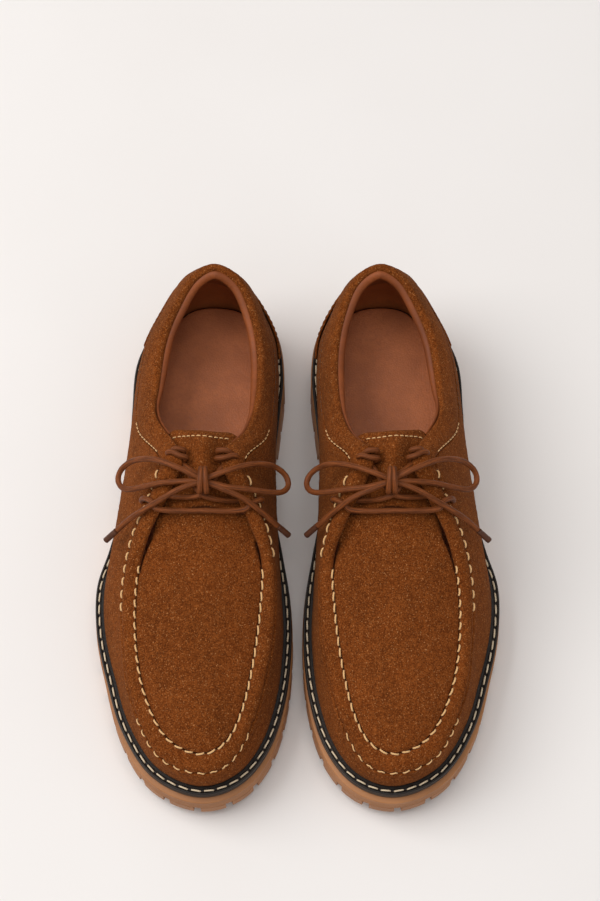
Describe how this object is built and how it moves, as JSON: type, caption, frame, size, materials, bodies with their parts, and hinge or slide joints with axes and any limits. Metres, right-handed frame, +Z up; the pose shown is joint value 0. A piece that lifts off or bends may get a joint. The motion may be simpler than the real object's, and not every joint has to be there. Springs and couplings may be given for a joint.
{
  "type": "pair of lace-up shoes",
  "caption": "Pair of moccasin-toe lace-up leather shoes with rolled apron seam, padded collar, round laces tied in bows, stitched welt and lugged sole.",
  "frame": {"origin": "on the floor, midway between the two shoes and midway between heels and toes", "axes": "+Z up, toes towards -Y, left shoe at +X and right shoe at -X"},
  "size_m": [0.2314, 0.3117, 0.1062],
  "materials": {
    "gum_rubber": "matte",
    "dark_rubber": "matte",
    "welt_leather": "satin",
    "spring_steel": "brushed",
    "cork": "matte",
    "insole_leather": "matte",
    "footbed_leather": "satin",
    "suede": "napped, matte",
    "stiffener": "matte",
    "lining_leather": "satin",
    "lace_leather": "waxed",
    "lace_tip": "satin"
  },
  "bodies": {
    "left_shoe": {"left_outsole": "gum_rubber", "left_heel_lift": "gum_rubber", "left_midsole": "dark_rubber", "left_welt": "welt_leather", "left_shank": "spring_steel", "left_cork_filler": "cork", "left_insole_board": "insole_leather", "left_sock_liner": "footbed_leather", "left_vamp": "suede", "left_apron": "suede", "left_moc_band": "suede", "left_quarter_outer": "suede", "left_quarter_inner": "suede", "left_collar": "suede", "left_heel_foxing": "suede", "left_toe_puff": "stiffener", "left_heel_counter": "stiffener", "left_vamp_lining": "lining_leather", "left_apron_lining": "lining_leather", "left_quarter_lining": "lining_leather", "left_collar_lining": "lining_leather", "left_lace": "lace_leather", "left_aglet_outer": "lace_tip", "left_aglet_inner": "lace_tip"},
    "left_tongue_body": {"left_tongue": "suede"},
    "right_shoe": {"right_outsole": "gum_rubber", "right_heel_lift": "gum_rubber", "right_midsole": "dark_rubber", "right_welt": "welt_leather", "right_shank": "spring_steel", "right_cork_filler": "cork", "right_insole_board": "insole_leather", "right_sock_liner": "footbed_leather", "right_vamp": "suede", "right_apron": "suede", "right_moc_band": "suede", "right_quarter_outer": "suede", "right_quarter_inner": "suede", "right_collar": "suede", "right_heel_foxing": "suede", "right_toe_puff": "stiffener", "right_heel_counter": "stiffener", "right_vamp_lining": "lining_leather", "right_apron_lining": "lining_leather", "right_quarter_lining": "lining_leather", "right_collar_lining": "lining_leather", "right_lace": "lace_leather", "right_aglet_outer": "lace_tip", "right_aglet_inner": "lace_tip"},
    "right_tongue_body": {"right_tongue": "suede"}
  },
  "joints": [
    {"name": "right_shoe_lift", "type": "slide", "parent": "left_shoe", "child": "right_shoe", "axis": [0, 0, 1], "range_m": [0, 0.15]},
    {"name": "left_tongue_flex", "type": "hinge", "parent": "left_shoe", "child": "left_tongue_body", "pos_m": [0.0538, -0.0055, 0.0757], "axis": [-1, 0, 0], "range_deg": [0, 10], "stiffness_Nm_per_rad": 0.3, "springref_deg": -1.72},
    {"name": "right_tongue_flex", "type": "hinge", "parent": "right_shoe", "child": "right_tongue_body", "pos_m": [-0.0538, -0.0055, 0.0757], "axis": [-1, 0, 0], "range_deg": [0, 10], "stiffness_Nm_per_rad": 0.3, "springref_deg": -1.72}
  ]
}
